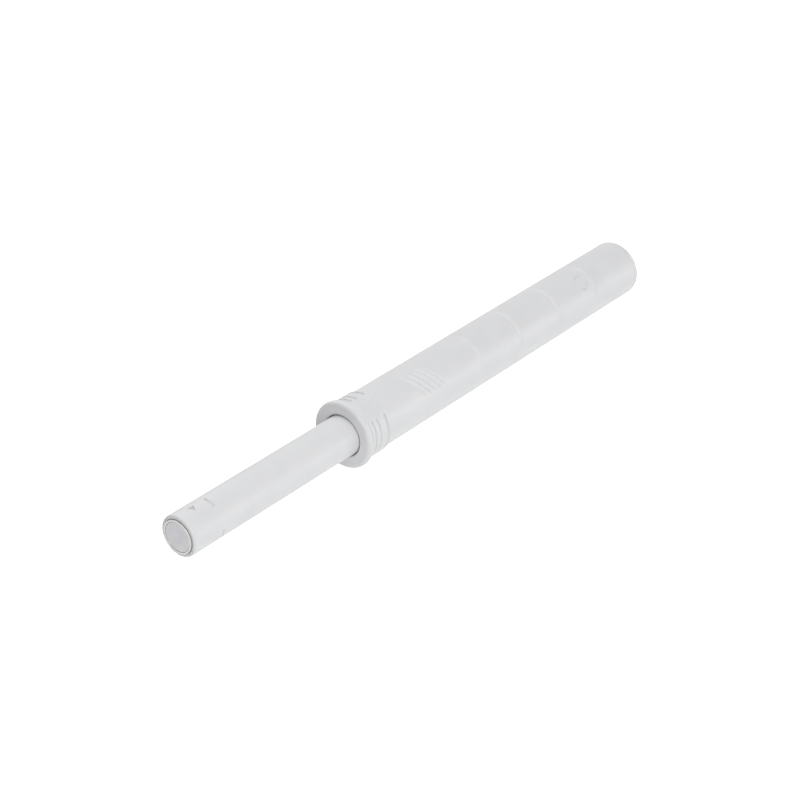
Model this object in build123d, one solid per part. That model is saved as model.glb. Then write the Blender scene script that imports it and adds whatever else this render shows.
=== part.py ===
from build123d import *
import math
import os

# A push to open catch that is pressed into a drilled hole. All sizes are in millimetres.
# The origin is the centre of the flange's rear face, and +Y runs along the barrel to its closed end.
# Angles about the barrel are counted from +Z towards +X.

# Rounded front edges are cut in this many straight steps
round_steps = 2

# Housing
barrel_d = 10.0
barrel_length = 75.3
flange_d = 11.4
flange_thickness = 1.2
flange_front_radius = 0.5
flange_rear_chamfer = 0.15
mouth_chamfer = 0.2
marked_side = 38.0
guide_length = 11.5
front_wall = 0.9
rear_wall = 0.65
key_depth = 0.4
key_width = 1.2
key_play = 0.05

# Press-fit ribs behind the flange, and the plain panel with a pocket that interrupts them
rib_height = 0.22
rib_zone_length = 4.8
rib_groove_width = 0.5
rib_groove_depth = 0.3
rib_groove_places = (0.25, 1.2, 2.3, 4.1)
panel_from_marked_side = -10.5
panel_half_angle = 25.5
pocket_half_angle = 12.0
pocket_front = 1.45
pocket_corner = 0.9
pocket_rise = 0.06

# Slanted grip ribs on the marked side
slant_count = 4
slant_first = 13.65
slant_pitch = 1.25
slant_angle = 28.7
slant_length = 5.0
slant_width = 0.62
slant_height = 0.18
slant_root = 0.1

# Grip barbs on the marked side: low, steep at the front, running out to the rear
barb_count = 4
barb_first = 28.7
barb_pitch = 11.1
barb_height = 0.2
barb_half_angle = 43.5
barb_length = 2.7
barb_root = 0.1

# Rear plug
plug_thickness = 3.3
plug_rim = 1.0
plug_rim_chamfer = 0.35
plug_play = 0.05
stud_behind_ring = 6.85
stud_d = 2.6
stud_play = 0.1
stud_sink = 0.2
slit_width = 0.8
slit_behind_stud = 4.0

# Plunger
plunger_d = 6.8
plunger_reach = 36.3
plunger_play = 0.12
plunger_tip_radius = 0.55
plunger_rear_chamfer = 0.2
flush_remainder = 0.3
mark_depth = 0.3
ring_mark_from_tip = 6.05
ring_mark_width = 0.42
ring_mark_half_angle = 17.5
ring_mark_count = 3
ring_mark_first_angle = 10.5
arrow_from_tip = 3.15
arrow_length = 1.2
arrow_width = 1.25
arrow_angle = 1.5

# Magnet in its steel cup
magnet_d = 4.84
magnet_length = 2.5
magnet_play = 0.03
cup_wall = 0.33
cup_floor = 0.85
cup_play = 0.05
magnet_recess = 0.05

# Front-gap adjustment: the plunger screws in and out on the carriage
gap_out = 4.0
gap_in = 1.0
gap_margin = 0.6
screw_in_margin = 0.2
thread_play = 0.1

# Spring and guide rod
rod_d = 2.6
rod_play = 0.02
rod_clearance = 4.5
rod_socket_depth = 2.1
rod_tip_chamfer = 0.3
wire_d = 0.44
coil_over_rod = 0.2
coil_in_bore = 0.11
coil_turns = 30
coil_sides = 8
coil_end_gap = 0.05

# Carriage
carriage_wall = 0.45
carriage_nose = 1.0
root_step = 0.25
root_step_lead = 2.5
stroke_end_margin = 0.5
guide_flange = 2.0
guide_play = 0.08
sleeve_d = 7.2
sleeve_wall = 0.7
washer_thickness = 0.45
washer_play = 0.05
washer_inner_play = 0.1

# Grip ring between carriage and plunger
grip_before_plunger_rear = 7.3
grip_width = 1.0
grip_depth = 0.35
grip_play = 0.03

# Follower ring with its two pins, and the heart-shaped cam tracks that they run in
ring_width = 2.2
ring_play = 0.05
ring_end_play = 0.15
ring_margin = 0.6
ring_over_sleeve = 0.1
pin_d = 0.9
pin_fit = 0.02
follower_turn = 56.0
latch_return = 1.5
track_depth = 0.6
track_floor_play = 0.08
track_side_play = 0.1
track_end_play = 0.15
track_tooth = 0.5
island_length = 4.0
island_rise = 2.2
horn_height = 1.05
lead_in_length = 1.5
lead_in_width = 0.75

# Radii that follow from the sizes above
barrel_r = barrel_d / 2
flange_r = flange_d / 2
rib_r = barrel_r + rib_height
plunger_r = plunger_d / 2
mouth_r = plunger_r + plunger_play
front_bore_r = barrel_r - front_wall
rear_bore_r = barrel_r - rear_wall
rod_r = rod_d / 2
coil_r = rod_r + coil_over_rod + wire_d / 2
carriage_bore_r = coil_r + wire_d / 2 + coil_in_bore
screw_r = carriage_bore_r + carriage_wall
root_r = screw_r + root_step
plunger_bore_r = screw_r + thread_play
plunger_rear_bore_r = root_r + thread_play
magnet_r = magnet_d / 2
cup_inner_r = magnet_r + magnet_play
cup_r = cup_inner_r + cup_wall
cup_seat_r = cup_r + cup_play
sleeve_r = sleeve_d / 2
track_floor_r = sleeve_r - track_depth
sleeve_bore_r = track_floor_r - sleeve_wall
guide_r = front_bore_r - guide_play
ring_outer_r = rear_bore_r - ring_play
ring_inner_r = sleeve_r + ring_over_sleeve
pin_r = pin_d / 2
stud_r = stud_d / 2

# Places along the barrel that follow from the sizes above
tip_y = -flange_thickness - plunger_reach
push_travel = plunger_reach - flush_remainder
cup_depth = magnet_recess + magnet_length + cup_floor
cup_floor_y = tip_y + cup_depth
carriage_front = cup_floor_y + gap_in + gap_margin
spring_front = carriage_front + carriage_nose
carriage_guide_front = guide_length + washer_play + washer_thickness
carriage_guide_rear = carriage_guide_front + guide_flange
plunger_rear = guide_length - gap_in - screw_in_margin
ring_front = carriage_guide_rear + push_travel + ring_margin
ring_rear = ring_front + ring_width
ring_middle = (ring_front + ring_rear) / 2
plug_floor = barrel_length - plug_thickness
plug_front = ring_rear + ring_end_play
housing_rear = barrel_length - plug_rim
sleeve_rear = plug_floor - stroke_end_margin - push_travel
stud_y = plug_front + stud_behind_ring
grip_front = plunger_rear - grip_before_plunger_rear
root_step_y = grip_front - root_step_lead
bore_step_y = root_step_y - gap_in - gap_margin
pin_at_full_push = ring_middle - push_travel
pin_when_latched = pin_at_full_push + latch_return


def turned(corners):
    """A solid of revolution about the barrel's axis, from its (radius, y) corners."""
    return revolve(Polygon(*corners, align=None), Axis.Y)


def rounded_edge(r, y, radius):
    """Profile corners for an outer front edge at (r, y), rounded in short straight steps."""
    turns = [math.radians(90 * i / round_steps) for i in range(round_steps + 1)]
    return [(r - radius * (1 - math.sin(a)), y + radius * (1 - math.cos(a))) for a in turns]


def tube(outer_r, inner_r, y_front, y_rear):
    """A plain ring or tube between two places on the axis."""
    return turned([(inner_r, y_front), (outer_r, y_front), (outer_r, y_rear), (inner_r, y_rear)])


def facing(angle):
    """Turns what faces +Z by an angle about the barrel's axis, positive towards +X."""
    return Rot(0, angle, 0)


def outward_prism(outline, r_low, r_high):
    """An (x, y) outline pushed out along +Z from one height to another."""
    return Pos(0, 0, r_low) * extrude(outline, r_high - r_low)


def radial_pin(r, y, r_low, r_high):
    """A round pin that stands out along +Z."""
    return Pos(0, y, r_low) * extrude(Circle(r), r_high - r_low)


def sector(angle, half_angle, outer_r, y_front, y_rear):
    """A wedge of the round, centred on an angle, for cutting round features to a part of the turn."""
    reach = 2 * outer_r
    side = reach * math.tan(math.radians(half_angle))
    wedge = Plane.XZ.offset(-y_front) * make_face(Polyline((0, 0), (side, reach), (-side, reach), close=True))
    return facing(angle) * extrude(wedge, -(y_rear - y_front))


def ring_edges(solid, r, y):
    """The circular edges of one radius at one place on the axis."""
    circles = solid.edges().filter_by(GeomType.CIRCLE)
    return [e for e in circles if abs(e.radius - r) < 0.01 and abs(e.arc_center.Y - y) < 0.01]


def ribbed_barrel():
    """The barrel's solid round form with its flange and press-fit ribs, before anything is cut away."""
    body = turned(
        [
            (0, -flange_thickness),
            *rounded_edge(flange_r, -flange_thickness, flange_front_radius),
            (flange_r, 0),
            (rib_r, 0),
            (rib_r, rib_zone_length),
            (barrel_r, rib_zone_length),
            (barrel_r, housing_rear),
            (0, housing_rear),
        ]
    )
    return chamfer(ring_edges(body, flange_r, 0), flange_rear_chamfer)


def rib_grooves():
    """The V-shaped grooves between the press-fit ribs, left out across the plain panel."""
    panel = facing(marked_side + panel_from_marked_side) * sector(0, panel_half_angle, flange_r, 0, rib_zone_length)
    grooves = []
    for y in rib_groove_places:
        front, rear = y - rib_groove_width / 2, y + rib_groove_width / 2
        notch = [(rib_r - rib_groove_depth, y), (rib_r, front), (flange_r, front), (flange_r, rear), (rib_r, rear)]
        grooves.append(turned(notch) - panel)
    return grooves


def panel_pocket():
    """The pocket in the plain panel: rounded in front, its floor falling to the barrel where it opens behind."""
    half_width = barrel_r * math.sin(math.radians(pocket_half_angle))
    length = rib_zone_length - pocket_front
    outline = Pos(0, rib_zone_length) * RectangleRounded(2 * half_width, 2 * length, pocket_corner)
    floor = turned(
        [
            (barrel_r + pocket_rise, pocket_front),
            (flange_r, pocket_front),
            (flange_r, rib_zone_length),
            (barrel_r, rib_zone_length),
        ]
    )
    return outward_prism(outline, 0, flange_r) & floor


def slanted_ribs():
    """The row of low slanted grip ribs."""
    ribs = []
    for i in range(slant_count):
        y = slant_first + i * slant_pitch
        bar = Pos(0, y) * Rot(0, 0, slant_angle) * SlotOverall(slant_length, slant_width)
        shell = tube(barrel_r + slant_height, barrel_r - slant_root, y - slant_length, y + slant_length)
        ribs.append(outward_prism(bar, 0, flange_r) & shell)
    return ribs


def grip_barb(y):
    """A low D-shaped barb: a slightly smaller round, set off centre and tilted so that it runs out.

    With barrel radius R, height h and half angle a, a round of radius R + h - e set off by
    e = (h*h + 2*R*h) / (2*R + 2*h - 2*R*cos(a)) meets the barrel at that half angle.
    """
    spread = 2 * barrel_r + 2 * barb_height - 2 * barrel_r * math.cos(math.radians(barb_half_angle))
    offset = (barb_height**2 + 2 * barrel_r * barb_height) / spread
    tilt = math.degrees(math.atan(barb_height / barb_length))
    round_r = barrel_r + barb_height - offset
    ramp = Pos(0, 0, offset) * tube(round_r, 0, -barb_length, 2 * barb_length)
    ramp = Pos(0, y, round_r) * Rot(-tilt, 0, 0) * Pos(0, 0, -round_r) * ramp
    core = tube(barrel_r - barb_root, 0, y - barb_length, y + 2 * barb_length)
    slab = sector(0, barb_half_angle, barrel_r, y, y + 1.5 * barb_length)
    return (ramp & slab) - core


def make_housing():
    body = ribbed_barrel()
    for groove in rib_grooves():
        body -= groove
    body -= facing(marked_side + panel_from_marked_side) * panel_pocket()
    for rib in slanted_ribs():
        body += facing(marked_side) * rib
    for i in range(barb_count):
        body += facing(marked_side) * grip_barb(barb_first + i * barb_pitch)
    body -= turned(
        [
            (0, -flange_thickness),
            (mouth_r, -flange_thickness),
            (mouth_r, guide_length),
            (front_bore_r, guide_length),
            (front_bore_r, ring_front - ring_play),
            (rear_bore_r, ring_front - ring_play),
            (rear_bore_r, housing_rear),
            (0, housing_rear),
        ]
    )
    keyway_end = ring_front - ring_play
    keyway = Rectangle(key_width + 2 * key_play, keyway_end - guide_length)
    keyway = Pos(0, (keyway_end + guide_length) / 2) * keyway
    keyway = outward_prism(keyway, 0, flange_r) & tube(front_bore_r + key_depth, 0, 0, keyway_end)
    for angle in (-90, 90):
        body -= facing(angle) * keyway
    for angle in (0, 180):
        body -= facing(marked_side + angle) * radial_pin(stud_r + stud_play, stud_y, mouth_r, flange_r)
    return chamfer(ring_edges(body, mouth_r, -flange_thickness), mouth_chamfer)


def make_rear_plug():
    """The plug that closes the barrel, holds the rod and keeps the follower ring in place."""
    skirt_r = rear_bore_r - plug_play
    plug = turned(
        [
            (0, plug_floor),
            (ring_inner_r, plug_floor),
            (ring_inner_r, plug_front),
            (skirt_r, plug_front),
            (skirt_r, housing_rear),
            (barrel_r, housing_rear),
            (barrel_r, barrel_length),
            (0, barrel_length),
        ]
    )
    plug = chamfer(ring_edges(plug, barrel_r, barrel_length), plug_rim_chamfer)
    plug -= tube(rod_r + rod_play, 0, plug_floor, plug_floor + rod_socket_depth)
    slit_rear = stud_y + slit_behind_stud
    slit = Pos(0, (plug_front + slit_rear) / 2) * Rectangle(slit_width, slit_rear - plug_front)
    slit = outward_prism(slit, 0, flange_r)
    for angle in (-90, 90):
        plug -= facing(marked_side + angle) * slit
    stud = radial_pin(stud_r, stud_y, ring_inner_r + ring_over_sleeve, barrel_r - stud_sink)
    for angle in (0, 180):
        plug += facing(marked_side + angle) * stud
    return plug


def make_guide_rod():
    rod_front = spring_front + push_travel + rod_clearance
    rod = tube(rod_r, 0, rod_front, plug_floor + rod_socket_depth)
    return chamfer(ring_edges(rod, rod_r, rod_front), rod_tip_chamfer)


def make_main_spring():
    """The coil spring, from the carriage's blind bore to the rear plug.

    To keep it light, each turn is a polygon of straight runs, and the wire is square with the
    same section area as the round wire.
    """
    start = spring_front + wire_d / 2 + coil_end_gap
    length = plug_floor - wire_d / 2 - coil_end_gap - start
    corner_count = coil_turns * coil_sides
    corners = []
    for i in range(corner_count + 1):
        angle = 2 * math.pi * i / coil_sides
        y = start + length * i / corner_count
        corners.append((coil_r * math.sin(angle), y, coil_r * math.cos(angle)))
    path = Polyline(*corners)
    side = wire_d * math.sqrt(math.pi) / 2
    section = Plane(path @ 0, z_dir=path % 0) * Rectangle(side, side)
    return sweep(section, path, transition=Transition.RIGHT)


def cam_track():
    """The cut of one heart-shaped track, on the +Z side, open at the sleeve's rear end.

    The pin runs in along the flank at negative x, meets the first slope of the front wall, drops
    back into the island's notch, and at the next push leaves by the other flank.
    """
    swing = math.sin(math.radians(follower_turn / 2))
    lean = math.cos(math.radians(follower_turn / 2))
    outer = sleeve_r * swing + pin_r * lean + track_side_play
    inner = (track_floor_r + track_floor_play) * swing - pin_r * lean - track_side_play
    front = pin_at_full_push - pin_r - track_end_play
    notch = pin_when_latched + pin_r
    island_rear = notch + island_length - horn_height
    lane = outer - inner
    middle = -track_side_play
    track = make_face(
        Polyline(
            (-outer, front),
            (middle, front - track_tooth),
            (middle, front),
            (outer, front - track_tooth),
            (outer, island_rear + lane / 2),
            (-inner, island_rear + island_rise + lane * 3 / 2),
            (-inner, sleeve_rear - lead_in_length),
            (-inner + lead_in_width, sleeve_rear),
            (-outer - lead_in_width, sleeve_rear),
            (-outer, sleeve_rear - lead_in_length),
            close=True,
        )
    )
    island = make_face(
        Polyline(
            (-inner, notch - horn_height),
            (-pin_r, notch),
            (pin_r, notch),
            (inner, notch - horn_height),
            (inner, island_rear),
            (-inner, island_rear + island_rise),
            close=True,
        )
    )
    shell = tube(sleeve_r + 1, track_floor_r, carriage_guide_rear, sleeve_rear)
    return outward_prism(track - island, 0, sleeve_r + 1) & shell


def make_carriage():
    """The sliding core: screw tube in front, keyed guide flange, and cam sleeve behind."""
    core = turned(
        [
            (0, carriage_front),
            (screw_r, carriage_front),
            (screw_r, root_step_y),
            (root_r, root_step_y),
            (root_r, carriage_guide_front),
            (guide_r, carriage_guide_front),
            (guide_r, carriage_guide_rear),
            (sleeve_r, carriage_guide_rear),
            (sleeve_r, sleeve_rear),
            (sleeve_bore_r, sleeve_rear),
            (sleeve_bore_r, carriage_guide_rear),
            (carriage_bore_r, carriage_guide_front),
            (carriage_bore_r, spring_front),
            (0, spring_front),
        ]
    )
    core -= tube(sleeve_r, root_r - grip_depth, grip_front, grip_front + grip_width)
    key = Pos(0, (carriage_guide_front + carriage_guide_rear) / 2) * Rectangle(key_width, guide_flange)
    key = outward_prism(key, sleeve_bore_r + sleeve_wall, flange_r) & tube(guide_r + key_depth, 0, 0, sleeve_rear)
    for angle in (-90, 90):
        core += facing(angle) * key
    track = cam_track()
    for angle in (0, 180):
        core -= facing(angle) * track
    return core


def make_stop_washer():
    front = carriage_guide_front - washer_thickness
    return tube(guide_r, root_r + washer_inner_play, front, carriage_guide_front)


def make_grip_ring():
    outer_r = plunger_rear_bore_r - grip_play
    inner_r = root_r - grip_depth + grip_play
    return tube(outer_r, inner_r, grip_front + grip_play, grip_front + grip_width - grip_play)


def make_plunger_tube():
    plunger = turned(
        [
            (cup_seat_r, tip_y),
            *rounded_edge(plunger_r, tip_y, plunger_tip_radius),
            (plunger_r, plunger_rear),
            (plunger_rear_bore_r, plunger_rear),
            (plunger_rear_bore_r, bore_step_y),
            (plunger_bore_r, bore_step_y),
            (plunger_bore_r, cup_floor_y),
            (cup_seat_r, cup_floor_y),
        ]
    )
    plunger = chamfer(ring_edges(plunger, plunger_r, plunger_rear), plunger_rear_chamfer)
    line_y = tip_y + ring_mark_from_tip
    line = tube(flange_r, plunger_r - mark_depth, line_y - ring_mark_width / 2, line_y + ring_mark_width / 2)
    for i in range(ring_mark_count):
        angle = ring_mark_first_angle + i * 360 / ring_mark_count
        plunger -= line & sector(angle, ring_mark_half_angle, flange_r, line_y - 1, line_y + 1)
    arrow_y = tip_y + arrow_from_tip
    arrow = make_face(
        Polyline(
            (arrow_length / 2, arrow_y),
            (-arrow_length / 2, arrow_y + arrow_width / 2),
            (-arrow_length / 2, arrow_y - arrow_width / 2),
            close=True,
        )
    )
    shell = tube(flange_r, plunger_r - mark_depth, tip_y, line_y)
    return plunger - (facing(arrow_angle) * outward_prism(arrow, 0, flange_r) & shell)


def make_magnet_cup():
    front = tip_y + magnet_recess
    return tube(cup_r, 0, front, cup_floor_y) - tube(cup_inner_r, 0, front, front + magnet_length)


def make_magnet():
    front = tip_y + magnet_recess
    return tube(magnet_r, 0, front, front + magnet_length)


def make_follower_ring():
    """The ring at rest, with its pin holes on the incoming flank of the two tracks."""
    ring = tube(ring_outer_r, ring_inner_r, ring_front, ring_rear)
    for angle in (0, 180):
        ring -= facing(angle - follower_turn / 2) * radial_pin(pin_r + pin_fit, ring_middle, 1, flange_r)
    return ring


def make_cam_pin(angle):
    pin = radial_pin(pin_r, ring_middle, track_floor_r + track_floor_play, flange_r)
    return facing(angle - follower_turn / 2) * (pin & tube(ring_outer_r, 0, ring_front, ring_rear))


parts = {
    "housing": make_housing(),
    "rear_plug": make_rear_plug(),
    "guide_rod": make_guide_rod(),
    "main_spring": make_main_spring(),
    "carriage": make_carriage(),
    "stop_washer": make_stop_washer(),
    "grip_ring": make_grip_ring(),
    "plunger_tube": make_plunger_tube(),
    "magnet_cup": make_magnet_cup(),
    "magnet": make_magnet(),
    "follower_ring": make_follower_ring(),
    "cam_pin_1": make_cam_pin(0),
    "cam_pin_2": make_cam_pin(180),
}

os.makedirs("parts", exist_ok=True)
for name, solid in parts.items():
    export_step(solid, f"parts/{name}.step")
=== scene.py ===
# %% [markdown]
# # A drill-in push catch
# The catch is a slim plastic barrel that is pushed into a drilled hole. A plunger with a magnet in
# its tip stands out in front, and a spring drives it when the door is pushed. The solid model gives
# every size. This lesson dresses it: the moulded shells, the wire and the plated parts are drawn
# again as smooth surfaces, because a solid model's own mesh has flat facets.
# %% Load the solid model
import math
import bpy
import numpy as np
from mathutils import Matrix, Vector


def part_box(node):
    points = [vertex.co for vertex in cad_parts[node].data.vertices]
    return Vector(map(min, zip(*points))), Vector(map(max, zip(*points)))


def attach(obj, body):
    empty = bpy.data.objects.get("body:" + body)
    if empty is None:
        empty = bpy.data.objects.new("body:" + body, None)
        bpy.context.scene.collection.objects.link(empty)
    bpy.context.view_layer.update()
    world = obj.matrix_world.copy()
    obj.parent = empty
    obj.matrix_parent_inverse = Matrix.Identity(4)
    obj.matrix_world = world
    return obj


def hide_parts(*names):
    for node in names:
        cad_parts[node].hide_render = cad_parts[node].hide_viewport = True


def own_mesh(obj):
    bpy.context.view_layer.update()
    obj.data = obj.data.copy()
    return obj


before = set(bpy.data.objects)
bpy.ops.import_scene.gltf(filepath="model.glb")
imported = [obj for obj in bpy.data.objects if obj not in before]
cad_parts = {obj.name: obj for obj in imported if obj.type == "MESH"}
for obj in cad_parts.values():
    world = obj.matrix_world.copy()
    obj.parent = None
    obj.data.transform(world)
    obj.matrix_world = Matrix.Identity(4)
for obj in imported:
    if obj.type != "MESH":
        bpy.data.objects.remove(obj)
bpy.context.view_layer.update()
MM = 0.001
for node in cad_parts:
    low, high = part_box(node)
    front, rear, width = low.y / MM, high.y / MM, (high.x - low.x) / MM
    print(f"{node:14} y {front:7.2f} to {rear:7.2f} mm, {width:.2f} mm wide")

# %% [markdown]
# ## Camera
# The catch lies level and is seen from its front right, from 30 degrees above. A long lens from
# some 32 cm away keeps the barrel nearly as wide at its far end as at its flange. The camera could
# be aimed with a Track To constraint. Here its three axes are worked out, so that it stays plain.
# %% Camera
aim = np.array([0, 13.27, 0]) * MM
azimuth = math.radians(38.9)
elevation = math.radians(29.85)
distance = 321.2 * MM

back = np.array([
    math.sin(azimuth) * math.cos(elevation),
    -math.cos(azimuth) * math.cos(elevation),
    math.sin(elevation),
])
right = np.array([math.cos(azimuth), math.sin(azimuth), 0])
up = np.cross(back, right)
place = np.eye(4)
place[:3] = np.column_stack([right, up, back, aim + back * distance])

camera_data = bpy.data.cameras.new("view_camera")
camera_data.lens = 90
camera_data.sensor_width = 36
camera_data.clip_start = 0.01
camera = bpy.data.objects.new("view_camera", camera_data)
camera.matrix_world = Matrix(place)
bpy.context.collection.objects.link(camera)
bpy.context.scene.camera = camera
print("camera at", np.round(place[:3, 3] / MM, 1), "mm")

# %% [markdown]
# ## Room
# A white plastic part shows its form through soft light alone. The world is a dim, even white room.
# A bright background could be put in after the render. Here the Light Path node tells the rays
# apart: to the camera and in reflections the room is full white, and it lights the part dimly.
# %% White room
def white_background(tree, strength):
    """A white background of a given strength."""
    node = tree.nodes.new("ShaderNodeBackground")
    node.inputs["Color"].default_value = (1, 1, 1, 1)
    node.inputs["Strength"].default_value = strength
    return node.outputs[0]


def larger(tree, first, second):
    """The larger of two values."""
    node = tree.nodes.new("ShaderNodeMath")
    node.operation = "MAXIMUM"
    tree.links.new(first, node.inputs[0])
    tree.links.new(second, node.inputs[1])
    return node.outputs[0]


def choose(tree, choice, if_zero, if_one, output):
    """Sends one of two shaders to an output node."""
    mix = tree.nodes.new("ShaderNodeMixShader")
    tree.links.new(choice, mix.inputs[0])
    tree.links.new(if_zero, mix.inputs[1])
    tree.links.new(if_one, mix.inputs[2])
    tree.links.new(mix.outputs[0], output.inputs["Surface"])


room_level = 0.2
world = bpy.data.worlds.new("white_room")
world.use_nodes = True
sky = world.node_tree
sky.nodes.clear()
ray = sky.nodes.new("ShaderNodeLightPath")
seen = larger(sky, ray.outputs["Is Camera Ray"], ray.outputs["Is Transmission Ray"])
seen = larger(sky, seen, ray.outputs["Is Glossy Ray"])
sky_out = sky.nodes.new("ShaderNodeOutputWorld")
choose(sky, seen, white_background(sky, room_level), white_background(sky, 1), sky_out)
bpy.context.scene.world = world
bpy.context.scene.view_settings.view_transform = "Standard"
print("room level", room_level)

# %% [markdown]
# ## Lamps
# Five broad lamps stand round the barrel: above, left, twice at the front right, and low at the
# rear right. They graze the front faces, which stay a shade darker, light the rounded edges beside
# them, and pick out the low ribs and barbs. Small lamps would draw hard streaks on the barrel.
# %% Lamps
lamp_range = 600
along_barrel = (0, 1, 0.01)


def soft_lamp(name, direction, size_mm, watts):
    """A square lamp at the lamps' range from the aim, looking back at it.

    One of its sides lies across the barrel. The barrel's direction is tilted by a hair, so that the
    cross product holds even for a lamp straight in front.
    """
    data = bpy.data.lights.new(name, "AREA")
    data.shape = "SQUARE"
    data.size = size_mm * MM
    data.energy = watts
    away = np.array(direction, float) / np.linalg.norm(direction)
    side = np.cross(along_barrel, away)
    side /= np.linalg.norm(side)
    seat = np.eye(4)
    seat[:3] = np.column_stack([side, np.cross(away, side), away, aim + away * lamp_range * MM])
    lamp = bpy.data.objects.new(name, data)
    lamp.matrix_world = Matrix(seat)
    bpy.context.collection.objects.link(lamp)
    print(f"{name}: {size_mm} mm square, {watts} W")


soft_lamp("lamp_above", (-0.2, 0.1, 1), 400, 0.95)
soft_lamp("lamp_left", (-0.75, 0.2, 0.65), 500, 1.45)
soft_lamp("lamp_front_right", (0.75, -0.6, 0.75), 350, 1.15)
soft_lamp("lamp_right", (0.95, -0.5, 0.25), 500, 1.15)
soft_lamp("lamp_rear_right", (0.72, 0.67, -0.06), 350, 1.0)

# %% [markdown]
# ## Floor
# The catch is held by its barrel in use, so nothing rests on the floor. The floor is a pale sheet
# well below it. To the camera it adds some light of its own, which carries it to white, and its
# matt part still takes the catch's shadow.
# %% Floor
floor_z = -90 * MM
reach = 0.5
paper_tone = 0.8
paper_glow = 0.7

floor_mesh = bpy.data.meshes.new("floor")
floor_corners = [(-reach, -reach), (reach, -reach), (reach, reach), (-reach, reach)]
floor_mesh.from_pydata([(x, y, floor_z) for x, y in floor_corners], [], [(0, 1, 2, 3)])
floor = bpy.data.objects.new("floor", floor_mesh)
bpy.context.collection.objects.link(floor)

paper = bpy.data.materials.new("floor_paper")
paper.use_nodes = True
sheet = paper.node_tree
sheet.nodes.clear()
matt = sheet.nodes.new("ShaderNodeBsdfDiffuse")
matt.inputs["Color"].default_value = (paper_tone, paper_tone, paper_tone, 1)
glow = sheet.nodes.new("ShaderNodeEmission")
glow.inputs["Strength"].default_value = paper_glow
both = sheet.nodes.new("ShaderNodeAddShader")
sheet.links.new(matt.outputs[0], both.inputs[0])
sheet.links.new(glow.outputs[0], both.inputs[1])
ray = sheet.nodes.new("ShaderNodeLightPath")
seen = larger(sheet, ray.outputs["Is Camera Ray"], ray.outputs["Is Glossy Ray"])
paper_out = sheet.nodes.new("ShaderNodeOutputMaterial")
choose(sheet, seen, matt.outputs[0], both.outputs[0], paper_out)
floor_mesh.materials.append(paper)
print("floor", round(-floor_z / MM), "mm below the barrel's axis")

# %% [markdown]
# ## Finishes
# The shells are moulded in a pale grey plastic with a satin skin. A mould's skin is never quite
# even: it has a fine grain from the spark-eroded steel, and faint cloudy tone from the flow of the
# melt. Both could be painted as images. Noise on the object's own coordinates does the same at any
# scale and has no seams.
# %% Material helpers
def new_material(name):
    """An empty Principled material and its node tree."""
    material = bpy.data.materials.new(name)
    material.use_nodes = True
    tree = material.node_tree
    return material, tree, tree.nodes["Principled BSDF"]


def object_noise(tree, grain_mm, detail=3.0, rough=0.55):
    """Noise with grains of a given size in millimetres, on the object's coordinates."""
    coord = tree.nodes.new("ShaderNodeTexCoord")
    noise = tree.nodes.new("ShaderNodeTexNoise")
    noise.inputs["Scale"].default_value = 1 / (grain_mm * MM)
    noise.inputs["Detail"].default_value = detail
    noise.inputs["Roughness"].default_value = rough
    tree.links.new(coord.outputs["Object"], noise.inputs["Vector"])
    return noise.outputs["Fac"]


def spread(tree, value, low, high):
    """A 0 to 1 pattern, whose middle part carries nearly all of it, brought to low to high."""
    ranged = tree.nodes.new("ShaderNodeMapRange")
    ranged.inputs["From Min"].default_value = 0.3
    ranged.inputs["From Max"].default_value = 0.7
    ranged.inputs["To Min"].default_value = low
    ranged.inputs["To Max"].default_value = high
    tree.links.new(value, ranged.inputs["Value"])
    return ranged.outputs["Result"]


# %% Colour, gloss and bumps
def tone_and_gloss(tree, shader, cloud, tones, grain, roughness):
    """Colour between two tones by a cloudy pattern, roughness between two values by a fine one."""
    mix = tree.nodes.new("ShaderNodeMix")
    mix.data_type = "RGBA"
    mix.inputs["A"].default_value = (*tones[0], 1)
    mix.inputs["B"].default_value = (*tones[1], 1)
    tree.links.new(spread(tree, cloud, 0, 1), mix.inputs["Factor"])
    tree.links.new(mix.outputs["Result"], shader.inputs["Base Color"])
    tree.links.new(spread(tree, grain, *roughness), shader.inputs["Roughness"])


def bumps(tree, shader, layers):
    """Bump layers of (height pattern, depth in micrometres), one on top of the other."""
    previous = None
    for height, depth in layers:
        bump = tree.nodes.new("ShaderNodeBump")
        bump.inputs["Strength"].default_value = 1
        bump.inputs["Distance"].default_value = depth * 1e-6
        tree.links.new(height, bump.inputs["Height"])
        if previous:
            tree.links.new(previous, bump.inputs["Normal"])
        previous = bump.outputs["Normal"]
    tree.links.new(previous, shader.inputs["Normal"])


# %% Moulded plastic
flow_cloud_mm = 4.0
skin_grain_mm = 0.09


def moulded_plastic(name, tones, roughness, grain_um, see_in=0.12):
    """A satin thermoplastic: cloudy tone, spark-eroded grain and a little light under the skin."""
    material, tree, shader = new_material(name)
    cloud = object_noise(tree, flow_cloud_mm, 2.0)
    grain = object_noise(tree, skin_grain_mm, 2.0)
    tone_and_gloss(tree, shader, cloud, tones, grain, (roughness - 0.05, roughness + 0.06))
    bumps(tree, shader, [(cloud, grain_um * 3), (grain, grain_um)])
    shader.inputs["IOR"].default_value = 1.5
    shader.inputs["Subsurface Weight"].default_value = see_in
    shader.inputs["Subsurface Radius"].default_value = (1.0, 0.9, 0.8)
    shader.inputs["Subsurface Scale"].default_value = 0.5 * MM
    return material


shell_tones = (0.72, 0.723, 0.735), (0.74, 0.743, 0.752)
acetal_tones = (0.60, 0.605, 0.60), (0.63, 0.63, 0.62)
shell_plastic = moulded_plastic("shell_plastic", shell_tones, 0.42, 2.0)
acetal = moulded_plastic("natural_acetal", acetal_tones, 0.32, 1.0, 0.25)
print("plastics:", shell_plastic.name, acetal.name)

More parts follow.
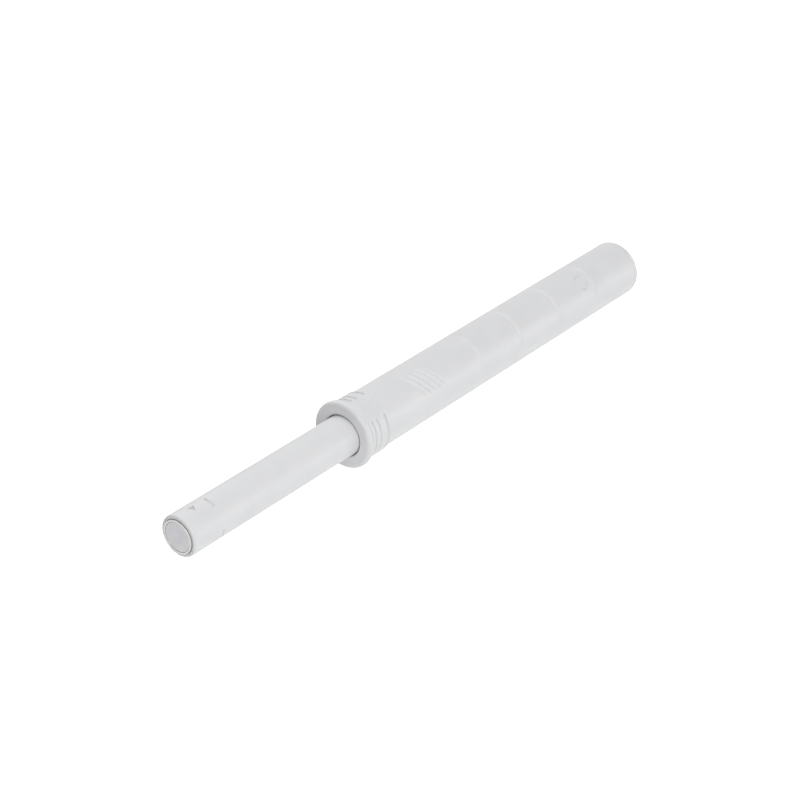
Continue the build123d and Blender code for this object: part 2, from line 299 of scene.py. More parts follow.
# %% [markdown]
# The magnet and its cup are nickel plated. The cup is turned, so its rim carries fine rings about
# the axis. The magnet is pressed and ground, so its face has a fine even grain. The wire and the
# rod are drawn: their scratches run along them, which noise stretched along the axis gives.
# %% Metal helpers
metal_cloud_mm = 1.5


def plated_metal(name, tones, roughness, stretch=(1, 1, 1), grain_mm=0.05, depth_um=1.0):
    """A metal skin with its grain stretched along an axis."""
    material, tree, shader = new_material(name)
    coord = tree.nodes.new("ShaderNodeTexCoord")
    mapping = tree.nodes.new("ShaderNodeMapping")
    mapping.inputs["Scale"].default_value = stretch
    noise = tree.nodes.new("ShaderNodeTexNoise")
    noise.inputs["Scale"].default_value = 1 / (grain_mm * MM)
    noise.inputs["Detail"].default_value = 4
    tree.links.new(coord.outputs["Object"], mapping.inputs["Vector"])
    tree.links.new(mapping.outputs["Vector"], noise.inputs["Vector"])
    grain = noise.outputs["Fac"]
    cloud = object_noise(tree, metal_cloud_mm, 2.0)
    tone_and_gloss(tree, shader, cloud, tones, grain, (roughness - 0.07, roughness + 0.07))
    bumps(tree, shader, [(grain, depth_um)])
    shader.inputs["Metallic"].default_value = 1
    return material


def add_turned_rings(material, pitch_mm, depth_um):
    """Rings about the barrel's axis, as a lathe leaves them, laid over the metal's own grain.

    A wave texture makes scale x 20 / (2 pi) rings to the metre.
    """
    tree = material.node_tree
    shader = tree.nodes["Principled BSDF"]
    coord = tree.nodes.new("ShaderNodeTexCoord")
    wave = tree.nodes.new("ShaderNodeTexWave")
    wave.wave_type = "RINGS"
    wave.rings_direction = "Y"
    wave.inputs["Scale"].default_value = 2 * math.pi / 20 / (pitch_mm * MM)
    wave.inputs["Distortion"].default_value = 0.5
    tree.links.new(coord.outputs["Object"], wave.inputs["Vector"])
    bump = tree.nodes.new("ShaderNodeBump")
    bump.inputs["Distance"].default_value = depth_um * 1e-6
    tree.links.new(wave.outputs["Fac"], bump.inputs["Height"])
    tree.links.new(shader.inputs["Normal"].links[0].from_socket, bump.inputs["Normal"])
    tree.links.new(bump.outputs["Normal"], shader.inputs["Normal"])


# %% Metals
cup_nickel = plated_metal("cup_nickel", ((0.49, 0.49, 0.48), (0.53, 0.53, 0.52)), 0.38)
add_turned_rings(cup_nickel, pitch_mm=0.08, depth_um=1.0)
magnet_nickel = plated_metal(
    "magnet_nickel", ((0.43, 0.425, 0.455), (0.465, 0.465, 0.465)), 0.42, grain_mm=0.06)
wire_steel = plated_metal(
    "spring_wire_zinc", ((0.50, 0.50, 0.52), (0.56, 0.56, 0.57)), 0.32, stretch=(1, 0.2, 1))
rod_steel = plated_metal(
    "drawn_rod_steel", ((0.58, 0.58, 0.60), (0.62, 0.62, 0.63)), 0.25, (1, 0.05, 1), 0.04)
pin_steel = plated_metal(
    "hardened_pin_steel", ((0.56, 0.56, 0.58), (0.62, 0.62, 0.63)), 0.28, grain_mm=0.04)
for metal in (cup_nickel, magnet_nickel, wire_steel, rod_steel, pin_steel):
    print("metal:", metal.name)

# %% [markdown]
# The stop washer and the grip ring are black elastomer. Such a surface is matt, with a fine grain
# that scatters what little it throws back.
# %% Rubber
ring_rubber, rubber_tree, rubber_shader = new_material("ring_rubber")
rubber_grain = object_noise(rubber_tree, 0.07, 4.0)
tone_and_gloss(
    rubber_tree, rubber_shader,
    object_noise(rubber_tree, 0.8), ((0.03, 0.03, 0.032), (0.045, 0.044, 0.043)),
    rubber_grain, (0.55, 0.75))
bumps(rubber_tree, rubber_shader, [(rubber_grain, 4.0)])
print("rubber:", ring_rubber.name)

# %% [markdown]
# ## Surfaces of revolution
# Nearly every piece of the catch is round about one axis. Such a surface is a profile of radius
# against length, carried round in a circle. Blender's Screw modifier does that too. Worked out
# here as a grid, each point can afterwards be moved in or out, which is how grooves, barbs and
# marks are cut into the shells. Real edges are never sharp, so each corner of a profile becomes a
# small arc, with one more point close by on each side that keeps the flats flat when shaded.
# %% Profile helpers
guard_reach = 0.05
guard_least = 0.001


def soft_profile(corners, edge=0.06, steps=3, closed=True):
    """Profile corners (radius, y) or (radius, y, own edge radius), each rounded to an arc.

    With the unit vectors u and v to the two neighbours and half the angle h between them, the arc
    starts edge / tan(h) along u and ends as far along v, and its centre lies edge / sin(h) away
    along u + v. Points in between turn evenly from the one to the other.
    """
    points = np.array([c[:2] for c in corners], float)
    radius = np.array([c[2] if len(c) > 2 else edge for c in corners], float)[:, None]
    u = np.roll(points, 1, axis=0) - points
    v = np.roll(points, -1, axis=0) - points
    shortest = np.minimum(np.linalg.norm(u, axis=1), np.linalg.norm(v, axis=1))[:, None]
    u /= np.linalg.norm(u, axis=1, keepdims=True)
    v /= np.linalg.norm(v, axis=1, keepdims=True)
    half = np.arccos(np.clip((u * v).sum(axis=1, keepdims=True), -0.9999, 0.9999)) / 2
    run = radius / np.tan(half)
    bisector = (u + v) / np.linalg.norm(u + v, axis=1, keepdims=True)
    middle = points + bisector * radius / np.sin(half)
    first = (points + u * run - middle)[:, None]
    last = (points + v * run - middle)[:, None]
    turn = (math.pi - 2 * half)[:, None]
    share = np.linspace(0, 1, steps + 1)[None, :, None]
    swept = first * np.sin((1 - share) * turn) + last * np.sin(share * turn)
    arc = middle[:, None] + swept / np.sin(turn)
    guard = np.minimum(guard_reach, np.maximum(0.2 * (shortest / 2 - run), guard_least))
    lead = (points + u * (run + guard))[:, None]
    tail = (points + v * (run + guard))[:, None]
    rows = np.concatenate([lead, arc, tail], axis=1)
    if closed:
        return rows.reshape(-1, 2)
    return np.concatenate([points[:1], rows[1:-1].reshape(-1, 2), points[-1:]])


def carried_round(profile, angles):
    """The profile carried round the Y axis: x = radius sin(angle), z = radius cos(angle)."""
    radius, along = profile[:, :1], profile[:, 1:]
    return np.stack([radius * np.sin(angles), along + 0 * angles, radius * np.cos(angles)], axis=-1)


def whole_turn(count):
    """Evenly spread angles of a full circle, without the one that would repeat the first."""
    return np.linspace(0, 2 * math.pi, count, endpoint=False)


# %% Mesh helpers
def skin(points, closed):
    """Quads between neighbouring rows and columns of a grid of points.

    The last column joins the first. A closed profile's last row joins its first as well, and an
    open one ends in a single point at each end.
    """
    rows, columns = points.shape[:2]
    index = np.arange(rows * columns).reshape(rows, columns)
    if closed:
        here, there = index, np.roll(index, -1, axis=0)
    else:
        index[0], index[-1] = index[0, 0], index[-1, 0]
        here, there = index[:-1], index[1:]
    quads = np.stack([here, there, np.roll(there, -1, axis=1), np.roll(here, -1, axis=1)], axis=-1)
    return quads.reshape(-1, 4)


def outward(points, quads):
    """The quads in the order that faces outwards: the volume they enclose must be above zero."""
    a, b, c, d = (points[quads[:, i]] for i in range(4))
    volume = (np.cross(a, b) * c).sum() + (np.cross(a, c) * d).sum()
    return quads if volume > 0 else quads[:, ::-1]


def add_piece(name, sheets, material, body, node):
    """One smooth object from grids of points in millimetres, riding on a body in a node's place.

    Each sheet is a grid and whether its profile is closed. Where a grid ends in a single point, its
    quads there have two corners in one, and become triangles.
    """
    all_points, all_quads, start = [], [], 0
    for grid, closed in sheets:
        flat = grid.reshape(-1, 3)
        all_quads.append(outward(flat, skin(grid, closed)) + start)
        all_points.append(flat)
        start += len(flat)
    points, quads = np.concatenate(all_points), np.concatenate(all_quads)
    used, packed = np.unique(quads, return_inverse=True)
    points, quads = points[used] * MM, packed.reshape(-1, 4)
    pole_a, pole_b = quads[:, 0] == quads[:, 3], quads[:, 1] == quads[:, 2]
    faces = quads[~(pole_a | pole_b)].tolist()
    faces += quads[pole_a][:, :3].tolist() + quads[pole_b][:, [0, 1, 3]].tolist()
    mesh = bpy.data.meshes.new(name)
    mesh.from_pydata(points, [], faces)
    mesh.shade_smooth()
    mesh.materials.append(material)
    piece = bpy.data.objects.new(name, mesh)
    bpy.context.collection.objects.link(piece)
    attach(piece, body)
    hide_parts(node)
    print(f"{name}: {len(points)} points, {len(faces)} faces")
    return piece


# %% [markdown]
# ## Magnet, cup and the small turned parts
# The magnet sits in a steel cup that carries its field to the strike plate, so the cup's rim shows
# as a thin bright ring round a grey disc. Both end just outside the tip. These parts, the rod, the
# stop washer and the grip ring are plain turned forms, so a profile of a few corners is enough.
# %% Helpers for turned parts
round_columns = whole_turn(128)


def ends_mm(node):
    """Where a node starts and ends along the barrel, and its largest radius."""
    low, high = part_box(node)
    return low.y / MM, high.y / MM, (high.x - low.x) / 2 / MM


def add_bar(name, corners, columns, material, body, node):
    """A solid turned piece: the corners run from the axis out and back."""
    profile = soft_profile(corners, closed=False)
    return add_piece(name, [(carried_round(profile, columns), False)], material, body, node)


def add_ring(name, inner, outer, front, rear, edge, body, node):
    """A rubber ring of four corners."""
    profile = soft_profile([(inner, front), (outer, front), (outer, rear), (inner, rear)], edge)
    sheets = [(carried_round(profile, round_columns), True)]
    return add_piece(name, sheets, ring_rubber, body, node)


# %% Magnet and cup
magnet_front, magnet_rear, magnet_r = ends_mm("magnet")
cup_front, cup_rear, cup_r = ends_mm("magnet_cup")
cup_stands_out = 0.18
cup_lip = cup_front - cup_stands_out
magnet_behind_lip = 0.03
magnet_play = 0.03
cup_inner_r = magnet_r + magnet_play

magnet_face = magnet_front - cup_stands_out + magnet_behind_lip
add_bar(
    "magnet_disc",
    [
        (0, magnet_face), (magnet_r, magnet_face, 0.05),
        (magnet_r, magnet_rear, 0.05), (0, magnet_rear),
    ],
    round_columns, magnet_nickel, "plunger", "magnet")
add_bar(
    "magnet_cup_turned",
    [
        (0, magnet_rear), (cup_inner_r, magnet_rear, 0.02), (cup_inner_r, cup_lip, 0.03),
        (cup_r, cup_lip, 0.05), (cup_r, cup_rear, 0.1), (0, cup_rear),
    ],
    round_columns, cup_nickel, "plunger", "magnet_cup")

# %% Guide rod, stop washer and grip ring
rod_front, rod_rear, rod_r = ends_mm("guide_rod")
rod_point = 0.3
add_bar(
    "guide_rod_drawn",
    [
        (0, rod_front), (rod_r - rod_point, rod_front, 0.05), (rod_r, rod_front + rod_point, 0.1),
        (rod_r, rod_rear, 0.05), (0, rod_rear),
    ],
    whole_turn(64), rod_steel, "housing", "guide_rod")

washer_front, washer_rear, washer_r = ends_mm("stop_washer")
washer_inner_r = 2.75
add_ring(
    "stop_washer_ring", washer_inner_r, washer_r, washer_front, washer_rear, 0.08,
    "carriage", "stop_washer")

grip_front, grip_rear, grip_r = ends_mm("grip_ring")
grip_thickness = 0.4
add_ring(
    "grip_ring_rubber", grip_r - grip_thickness, grip_r, grip_front, grip_rear, 0.12,
    "grip_ring", "grip_ring")

# %% [markdown]
# ## Spring
# The spring is one zinc-plated wire wound in thirty turns. Its last turn at each end is closed, so
# that it bears squarely. A curve with a bevel would do. Here the wire's centre line is a helix, and
# each of its points carries a small circle in the plane of the two directions across the wire.
# %% Spring wire
spring_front, spring_rear = ends_mm("main_spring")[:2]
wire_d = 0.44
coil_r = 1.72
coil_turns = 30
steps_a_turn = 28
wire_sides = 10
end_play = 0.02
closed_turn = wire_d * 1.05


def wound_wire(front, rear, turns):
    """The skin of a round wire along a helix.

    The centre line is (coil_r sin t, y(t), coil_r cos t). y grows by little more than the wire's
    thickness in the first and last turn and evenly between them, and its bends are smoothed by a
    running mean over one turn. Each point of the skin is centre + wire_r (cos a outward + sin a
    sideways), and the first and last rows close on the centre line.
    """
    t = np.linspace(0, turns, turns * steps_a_turn + 1)
    start, stop = front + wire_d / 2 + end_play, rear - wire_d / 2 - end_play
    y = np.interp(
        t, [0, 1, turns - 1, turns], [start, start + closed_turn, stop - closed_turn, stop])
    half = steps_a_turn // 2
    ease = np.ones(2 * half + 1) / (2 * half + 1)
    before = y[0] - np.arange(half, 0, -1) * (y[1] - y[0])
    after = y[-1] + np.arange(1, half + 1) * (y[-1] - y[-2])
    y = np.convolve(np.concatenate([before, y, after]), ease, mode="valid")
    angle = 2 * math.pi * t
    centre = np.stack([coil_r * np.sin(angle), y, coil_r * np.cos(angle)], axis=-1)
    along = np.gradient(centre, axis=0)
    along /= np.linalg.norm(along, axis=1, keepdims=True)
    out = np.stack([np.sin(angle), 0 * angle, np.cos(angle)], axis=-1)
    side = np.cross(along, out)
    around = whole_turn(wire_sides)[None, :, None]
    ring = np.cos(around) * out[:, None] + np.sin(around) * side[:, None]
    tube = centre[:, None] + wire_d / 2 * ring
    first = np.repeat(centre[:1, None], wire_sides, axis=1)
    last = np.repeat(centre[-1:, None], wire_sides, axis=1)
    return np.concatenate([first, tube, last])


spring = add_piece(
    "spring_wire", [(wound_wire(spring_front, spring_rear, coil_turns), False)],
    wire_steel, "housing", "main_spring")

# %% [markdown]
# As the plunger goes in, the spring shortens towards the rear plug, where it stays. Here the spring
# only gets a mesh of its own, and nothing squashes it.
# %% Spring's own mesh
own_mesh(spring)

# %% [markdown]
# ## Plunger
# The plunger is a moulded tube with a rounded tip. Three short lines and an arrow are sunk into it
# near the tip: they show which way and how far it has been screwed in or out. Each could be cut
# with a boolean, which leaves a ragged mesh. Instead, the outer skin is a grid with rows and
# columns set close where the marks are, and its radius is lowered there.
# %% Plunger sizes
tip, plunger_rear, plunger_r = ends_mm("plunger_tube")
cup_seat_r = cup_r + 0.06
tip_edge = 0.4
tip_rim = tip + 0.05
thread_bore_r = 2.6
rear_bore_r = 2.85
rear_bore_y = -2.0
rear_chamfer = 0.2

mark_depth = 0.42
mark_edge = (-0.03, 0.05)
line_y = tip + 6.05
line_width = 0.42
line_half_angle = math.radians(17.5)
line_angles = np.radians([10.5, 114.5, 250.5])
arrow_y = tip + 3.15
arrow_length = 1.2
arrow_width = 1.25
arrow_angle = math.radians(1.5)
print(f"plunger from y {tip:.2f} to {plunger_rear:.2f} mm, radius {plunger_r:.2f} mm")

# %% Helpers for skins with features
def step_up(x, low, high):
    """0 below low, 1 above high, and a smooth S between them."""
    s = np.clip((x - low) / (high - low), 0, 1)
    return s * s * (3 - 2 * s)


def turned_from(angle, middle):
    """The signed angle from a middle direction."""
    return (angle - middle + math.pi) % (2 * math.pi) - math.pi


def about(places, offsets):
    """Every place with every offset added."""
    return (np.asarray(places)[:, None] + np.asarray(offsets)[None]).ravel()


def circle_columns(base_count, extra):
    """Angles of a full turn: an even set with extra ones put in, none closer than 0.02 degrees."""
    angles = np.concatenate([whole_turn(base_count), np.asarray(extra) % (2 * math.pi)])
    angles = np.sort(angles)
    keep = np.concatenate([[True], np.diff(angles) > math.radians(0.02)])
    return angles[keep]


# %% Plunger's grid
arrow_patch = np.linspace(-0.72, 0.72, 37)
line_ends = np.concatenate([line_angles - line_half_angle, line_angles + line_half_angle])
plunger_columns = circle_columns(120, np.concatenate([
    arrow_angle + arrow_patch / plunger_r,
    about(line_ends, np.radians([-0.5, -0.2, 0.2, 0.5])),
]))
plunger_rows = np.sort(np.concatenate([
    arrow_y + arrow_patch,
    line_y + line_width / 2 * np.array([-1.6, -1.15, -0.85, -0.4, 0, 0.4, 0.85, 1.15, 1.6]),
    np.linspace(line_y + 1.2, plunger_rear - 0.6, 12),
]))
print(len(plunger_rows), "rows and", len(plunger_columns), "columns")


def marks(along, angle):
    """How deep the marks are sunk, from the distances to their edges in millimetres.

    The arrow is a triangle that points round the plunger: run counts from its point to its base.
    """
    run = arrow_length / 2 - plunger_r * turned_from(angle, arrow_angle)
    slope = arrow_width / 2 / arrow_length
    to_side = (slope * run - np.abs(along - arrow_y)) / math.hypot(1, slope)
    depth = step_up(np.minimum(to_side, arrow_length - run), *mark_edge)
    for middle in line_angles:
        to_end = (line_half_angle - np.abs(turned_from(angle, middle))) * plunger_r
        to_side = line_width / 2 - np.abs(along - line_y)
        depth = np.maximum(depth, step_up(np.minimum(to_end, to_side), *mark_edge))
    return depth * mark_depth


# %% Plunger
front_part = soft_profile(
    [
        (thread_bore_r, cup_rear), (cup_seat_r, cup_rear, 0.03), (cup_seat_r, tip_rim, 0.04),
        (plunger_r, tip_rim, tip_edge), (plunger_r, arrow_y - 0.8),
    ],
    steps=6, closed=False)
outer_part = np.column_stack([np.full(len(plunger_rows), plunger_r), plunger_rows])
rear_part = soft_profile(
    [
        (plunger_r, plunger_rows[-1] + 0.1), (plunger_r, plunger_rear - rear_chamfer, 0.05),
        (plunger_r - rear_chamfer, plunger_rear, 0.05), (rear_bore_r, plunger_rear),
        (rear_bore_r, rear_bore_y, 0.05), (thread_bore_r, rear_bore_y, 0.05),
        (thread_bore_r, cup_rear + 0.5),
    ],
    closed=False)
plunger_profile = np.concatenate([front_part, outer_part, rear_part])
plunger_grid = carried_round(plunger_profile, plunger_columns)
sunk = np.zeros(plunger_grid.shape[:2])
on_skin = slice(len(front_part), len(front_part) + len(outer_part))
sunk[on_skin] = marks(plunger_rows[:, None], plunger_columns[None])
scale = 1 - sunk / plunger_profile[:, :1]
plunger_grid[..., 0] *= scale
plunger_grid[..., 2] *= scale
add_piece("plunger_moulding", [(plunger_grid, True)], shell_plastic, "plunger", "plunger_tube")

# %% [markdown]
# ## Housing
# The housing is one moulding: a flange that stops it at the panel's edge, fine ribs that are
# pressed into the mouth of the hole, and a long barrel. One side carries a plain panel with a
# pocket, four slanted ribs, four low barbs and a round hole where the rear plug snaps in. All of
# these are small rises and falls of one round skin, so its radius is written as a function of the
# place along the barrel and of the angle, and the grid is fine only where they are.
# %% Housing sizes
flange_front, housing_rear, flange_r = ends_mm("housing")
barrel_r = 5.0
mouth_r = 3.58
guide_shelf = 11.5
front_bore_r = 4.1
ring_shelf = 50.55
housing_rear_bore_r = 4.35
key_half_width = 0.65
keyway_r = 4.5
flange_front_edge = 0.6
flange_rear_edge = 0.3
marked_side = math.radians(38)

rib_r = 5.22
rib_zone = 4.8
rib_grooves = (0.28, 1.2, 2.3, 4.1)
groove_half_width = 0.28
groove_depth = 0.5
print(f"housing y {flange_front:.2f} to {housing_rear:.2f} mm, flange radius {flange_r:.2f} mm")

# %% Sizes of the marked side
panel_angle = marked_side - math.radians(10.5)
panel_half = math.radians(25.5)
pocket_half = math.radians(12)
pocket_front = 1.45
pocket_corner = 0.9
pocket_rise = 0.06
first_slant = 13.65
slant_pitch = 1.25
slant_count = 4
slant_angle = math.radians(28.7)
slant_half_x = 2.5
slant_height = 0.17
barbs = 28.7 + 11.1 * np.arange(4)
barb_half_angle = math.radians(43.5)
barb_height = 0.32
barb_length = 2.7
barb_front = 0.6
barb_side = 0.65
stud_y = 59.8
stud_hole_r = 1.4
stud_hole_floor_r = 4.42
stud_patch = 2.4
print("barbs at", barbs, "mm")

# %% Rises and falls of the skin
def rounded_box(x, y, half_x, half_y, corner):
    """Distance inside a rounded rectangle, below zero outside: the corner radius less the distance
    to the smaller rectangle that the corners are centred on."""
    dx = np.abs(x) - half_x + corner
    dy = np.abs(y) - half_y + corner
    outside = np.hypot(np.maximum(dx, 0), np.maximum(dy, 0))
    return corner - outside - np.minimum(np.maximum(dx, dy), 0)


def slanted_ribs(x, y):
    """Height of the slanted ribs over the barrel, by the distance x across it and the place y.

    With the phase p = (y - x tan(slant) - first) / pitch, a whole number on each rib's crest, the
    height is h (1 - 2 |sin(pi p)|^3): broad crests with narrow valleys as deep between them. It
    starts and ends where that is zero outside the first and last valley, and fades at the ribs'
    ends.
    """
    phase = (y - x * math.tan(slant_angle) - first_slant) / slant_pitch
    past_valley = 1 - math.asin(0.5 ** (1 / 3)) / math.pi
    among = (phase > -past_valley) & (phase < slant_count - 1 + past_valley)
    wave = 1 - 2 * np.abs(np.sin(math.pi * phase)) ** 3
    return slant_height * wave * among * step_up(slant_half_x - np.abs(x), 0, 0.8)


def barb_bulge(turn):
    """Height of a barb's crest over the barrel, by the angle from its middle.

    It is a slightly smaller round set off centre, which meets the barrel at the barb's half angle.
    A power below one makes its sides steeper.
    """
    least = 2 * (barrel_r + barb_height - barrel_r * math.cos(barb_half_angle))
    offset = (barb_height**2 + 2 * barrel_r * barb_height) / least
    round_r = barrel_r + barb_height - offset
    bulge = offset * np.cos(turn) + np.sqrt(round_r**2 - (offset * np.sin(turn)) ** 2) - barrel_r
    bulge = barb_height * (np.maximum(bulge, 0) / barb_height) ** barb_side
    return np.where(np.abs(turn) < barb_half_angle, bulge, 0)


# %% The skin's radius
def housing_radius(y, angle):
    """The outer skin's radius at a place along the barrel and an angle.

    Ribs: barrel radius plus the ribs' height up to the rib zone's end, less rounded grooves (half
    a cosine wave) that stop at the panel. Pocket: a floor that falls evenly to the barrel. Barbs:
    their bulge less a ramp that falls to the rear, behind a short soft front.
    """
    radius = rib_r - (rib_r - barrel_r) * step_up(y, rib_zone - 0.3, rib_zone) + 0 * angle
    turn = turned_from(angle, panel_angle)
    off_panel = step_up(np.abs(turn) - panel_half, 0, math.radians(0.8))
    for place in rib_grooves:
        away = np.minimum(np.abs(y - place) / groove_half_width, 1)
        radius = radius - off_panel * groove_depth / 2 * (1 + np.cos(math.pi * away))

    half_x, half_y = barrel_r * math.sin(pocket_half), rib_zone - pocket_front
    inside = rounded_box(barrel_r * np.sin(turn), y - rib_zone, half_x, half_y, pocket_corner)
    floor_r = barrel_r + pocket_rise * np.clip((rib_zone - y) / half_y, 0, 1)
    sunk_by = step_up(inside, -0.1, 0.15) * (np.cos(turn) > 0)
    radius = radius + sunk_by * (np.minimum(radius, floor_r) - radius)

    turn = turned_from(angle, marked_side)
    radius = radius + (np.cos(turn) > 0) * slanted_ribs(barrel_r * np.sin(turn), y)
    bulge = barb_bulge(turn)
    for place in barbs:
        ramp = bulge - (y - place) * barb_height / barb_length
        radius = radius + np.maximum(ramp, 0) * step_up(y - place, -barb_front / 2, barb_front / 2)
    return radius


# %% [markdown]
# The round snap holes don't follow a grid of straight rows and columns. Their rims could be cut in
# with a boolean too. Here the square patch of grid round each hole is bent, so that its lines run
# in circles about the hole's middle and one of them is the rim.
# %% Rows and columns of the housing
half_patch = np.array([0.35, 0.7, 1.0, 1.2, 1.34, 1.38, 1.42, 1.46, 1.6, 1.85, 2.1, stud_patch])
hole_offsets = np.concatenate([-half_patch[::-1], [0], half_patch])
hole_columns = np.arcsin(hole_offsets / barrel_r)
key_offsets = np.arcsin(np.array([-0.66, -0.64, 0.64, 0.66]) / front_bore_r)
barb_ends = np.array([-5, -3.5, -2.2, -1.2, -0.5, -0.1, 0.1, 0.5, 1.2, 2.2, 3.5, 5])
housing_columns = circle_columns(72, np.concatenate([
    marked_side + np.radians(np.linspace(-31, 31, 79)),
    panel_angle + about([-panel_half, panel_half], np.radians([-0.5, 0, 0.4, 0.8, 1.3])),
    marked_side + about([-barb_half_angle, barb_half_angle], np.radians(barb_ends)),
    marked_side + hole_columns,
    marked_side + math.pi + hole_columns,
    about([-math.pi / 2, math.pi / 2], key_offsets),
]))
skin_rows = np.concatenate([
    np.arange(0.0, 5.2, 0.07),
    np.arange(11.4, 19.7, 0.09),
    about(barbs, np.concatenate([np.linspace(-0.4, 0.4, 9), np.arange(0.7, 2.9, 0.4)])),
    stud_y + hole_offsets,
    np.arange(6.5, housing_rear - 0.5, 2.5),
])
skin_rows = np.unique(np.round(skin_rows, 3))
skin_rows = skin_rows[(skin_rows > 0.08) & (skin_rows < housing_rear - 0.3)]
print(len(skin_rows), "rows and", len(housing_columns), "columns")


def round_off(x, y):
    """Moves a square patch of grid so that its lines run in circles about its middle.

    With s = max(|x|, |y|), the square ring at s goes to the circle of radius s. Towards the
    patch's edge the move fades out, so that it joins the rest.
    """
    s = np.maximum(np.abs(x), np.abs(y))
    length = np.maximum(np.hypot(x, y), 1e-9)
    share = 1 - step_up(s, 0.7 * stud_patch, stud_patch)
    return x + share * (x * s / length - x), y + share * (y * s / length - y), s


# %% The skin with its holes
angle_grid, y_grid = np.meshgrid(housing_columns, skin_rows)
hole_floor = np.zeros_like(y_grid, bool)
on_patch = stud_patch + 1e-6
for middle in (marked_side, marked_side + math.pi):
    turn = turned_from(angle_grid, middle)
    x, y = barrel_r * np.sin(turn), y_grid - stud_y
    inside = (np.abs(x) <= on_patch) & (np.abs(y) <= on_patch) & (np.cos(turn) > 0)
    moved_x, moved_y, ring = round_off(x, y)
    moved_angle = middle + np.arcsin(np.clip(moved_x / barrel_r, -1, 1))
    angle_grid = np.where(inside, moved_angle, angle_grid)
    y_grid = np.where(inside, stud_y + moved_y, y_grid)
    hole_floor |= inside & (ring < stud_hole_r)
radius_grid = np.where(hole_floor, stud_hole_floor_r, housing_radius(y_grid, angle_grid))
skin_x, skin_z = radius_grid * np.sin(angle_grid), radius_grid * np.cos(angle_grid)
print(f"skin radius {radius_grid.min():.2f} to {radius_grid.max():.2f} mm")

# %% Housing
rib_foot_r = rib_r - 0.2
housing_front = soft_profile(
    [
        (mouth_r, guide_shelf - 1), (mouth_r, flange_front + 0.2, 0.05),
        (mouth_r + 0.2, flange_front, 0.05), (flange_r, flange_front, flange_front_edge),
        (flange_r, 0, flange_rear_edge), (rib_foot_r, 0, 0.03), (rib_foot_r, 0.08),
    ],
    steps=5, closed=False)
housing_skin = np.column_stack([np.full(len(skin_rows), barrel_r), skin_rows])
housing_back = soft_profile(
    [
        (barrel_r, housing_rear - 0.25), (barrel_r, housing_rear, 0.12),
        (housing_rear_bore_r, housing_rear, 0.06), (housing_rear_bore_r, ring_shelf, 0.05),
        (front_bore_r, ring_shelf, 0.05), (front_bore_r, guide_shelf, 0.05),
        (mouth_r, guide_shelf, 0.05), (mouth_r, guide_shelf - 0.5),
    ],
    closed=False)
housing_profile = np.concatenate([housing_front, housing_skin, housing_back])
housing_grid = carried_round(housing_profile, housing_columns)

profile_r, profile_y = housing_profile.T
in_key = np.abs(front_bore_r * np.cos(housing_columns)) < key_half_width + 0.01
along_key = (profile_y > guide_shelf + 0.1) & (profile_y < ring_shelf + 0.01)
along_key &= profile_r < front_bore_r + 0.01
deeper = np.where(along_key[:, None] & in_key[None], keyway_r / front_bore_r, 1)
housing_grid[..., 0] *= deeper
housing_grid[..., 2] *= deeper
on_skin = slice(len(housing_front), len(housing_front) + len(housing_skin))
housing_grid[on_skin] = np.stack([skin_x, y_grid, skin_z], axis=-1)
add_piece("housing_moulding", [(housing_grid, True)], shell_plastic, "housing", "housing")

# %% [markdown]
# ## Rear plug
# The plug closes the barrel behind. A thin rim shows past the barrel's end, with a fine seam, and
# two round studs on its skirt snap into the barrel's holes. Slits beside them let the skirt give.
# The front edge of the skirt's profile is simply pushed back in the columns of the two slits.
# %% Plug with its skirt
plug_front, plug_rear, plug_r = ends_mm("rear_plug")
skirt_r = 4.3
skirt_inner_r = 3.7
plug_floor = 72.0
socket_r = 1.32
socket_floor = 74.1
slit_rear = 63.8
slit_half_width = 0.4
plug_rear_edge = 0.35
seam_edge = 0.12

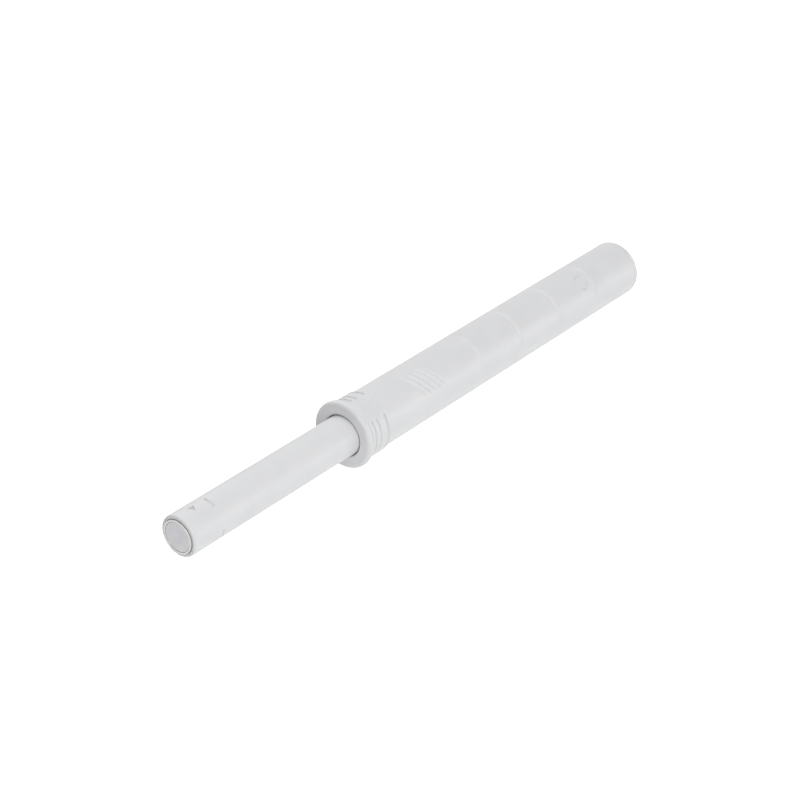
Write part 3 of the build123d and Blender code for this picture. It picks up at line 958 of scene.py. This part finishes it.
slit_middles = [marked_side - math.pi / 2, marked_side + math.pi / 2]
slit_offsets = np.arcsin(np.array([-0.42, -0.4, 0.4, 0.42]) / skirt_r)
plug_columns = circle_columns(144, about(slit_middles, slit_offsets))
plug_profile = soft_profile(
    [
        (0, plug_rear), (plug_r, plug_rear, plug_rear_edge), (plug_r, housing_rear, seam_edge),
        (skirt_r, housing_rear, 0.04), (skirt_r, plug_front, 0.1),
        (skirt_inner_r, plug_front, 0.1), (skirt_inner_r, plug_floor, 0.1),
        (socket_r, plug_floor, 0.1), (socket_r, socket_floor, 0.1), (0, socket_floor),
    ],
    closed=False)
plug_grid = carried_round(plug_profile, plug_columns)
across = np.abs(skirt_r * np.sin(turned_from(plug_columns, slit_middles[1])))
in_slit = across[None] < slit_half_width + 0.01
at_front = plug_grid[..., 1] < plug_front + 1
plug_grid[..., 1] += np.where(in_slit & at_front, slit_rear - plug_front, 0)
print("skirt from y", plug_front, "mm, slits to y", slit_rear, "mm")

# %% Plug with its studs
stud_r = 1.3
stud_foot = 4.0
stud_top = 4.8
stud_profile = soft_profile(
    [(0, stud_foot), (stud_r, stud_foot, 0.02), (stud_r, stud_top, 0.06), (0, stud_top)],
    closed=False)
stud_disc = carried_round(stud_profile, whole_turn(48))


def stood_up(grid, angle):
    """A form drawn along Y about the origin, stood up in the direction of an angle, at the stud's
    place along the barrel."""
    x, height, z = grid[..., 0], grid[..., 1], grid[..., 2]
    return np.stack([
        height * math.sin(angle) + x * math.cos(angle),
        z + stud_y,
        height * math.cos(angle) - x * math.sin(angle),
    ], axis=-1)


studs = [(stood_up(stud_disc, marked_side + turn), False) for turn in (0, math.pi)]
add_piece(
    "rear_plug_moulding", [(plug_grid, False), *studs], shell_plastic, "housing", "rear_plug")

# %% [markdown]
# ## Cam carriage, follower ring and pins
# These run inside the barrel. Their shape is right in the solid model, so its own meshes stay, with
# the natural acetal of slide parts and hardened steel for the two pins.
# %% Finishes for the solid model's own parts
kept = {"carriage": acetal, "follower_ring": acetal, "cam_pin_1": pin_steel, "cam_pin_2": pin_steel}
for node, material in kept.items():
    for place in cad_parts[node].material_slots:
        place.material = material
    print(node, "in", material.name)
